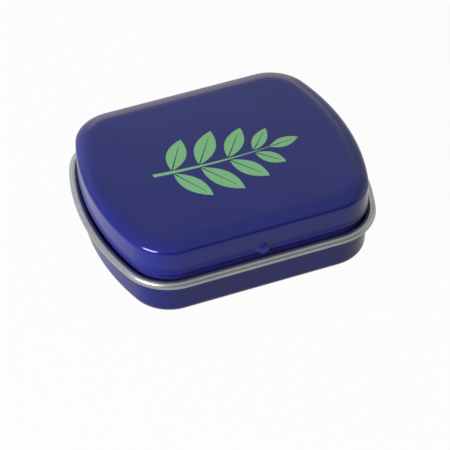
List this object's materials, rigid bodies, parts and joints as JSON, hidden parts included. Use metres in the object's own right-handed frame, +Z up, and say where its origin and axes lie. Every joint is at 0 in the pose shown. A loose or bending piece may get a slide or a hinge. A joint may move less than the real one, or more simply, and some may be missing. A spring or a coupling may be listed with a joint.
{
  "type": "mint tin",
  "caption": "Small rounded tinplate pocket tin with a bare rolled rim, a hinged lid on two rolled tabs, and a thumb bump at the front.",
  "frame": {"origin": "middle of the base's flat underside", "axes": "+X along the tin's length, to the right seen from the front; +Y to the back, where the hinge is; +Z up"},
  "size_m": [0.06, 0.0503, 0.0177],
  "materials": {
    "painted_tinplate": "satin dark blue enamel on tinplate",
    "bare_tinplate": "bare tinplate of the rolled rim, the hinge tabs and the inside"
  },
  "bodies": {
    "base": {"base": "painted_tinplate"},
    "lid": {"lid": "painted_tinplate"}
  },
  "joints": [
    {"name": "lid_hinge", "type": "hinge", "parent": "base", "child": "lid", "pos_m": [0, 0.0239, 0.0087], "axis": [-1, 0, 0], "range_deg": [0, 110]}
  ]
}
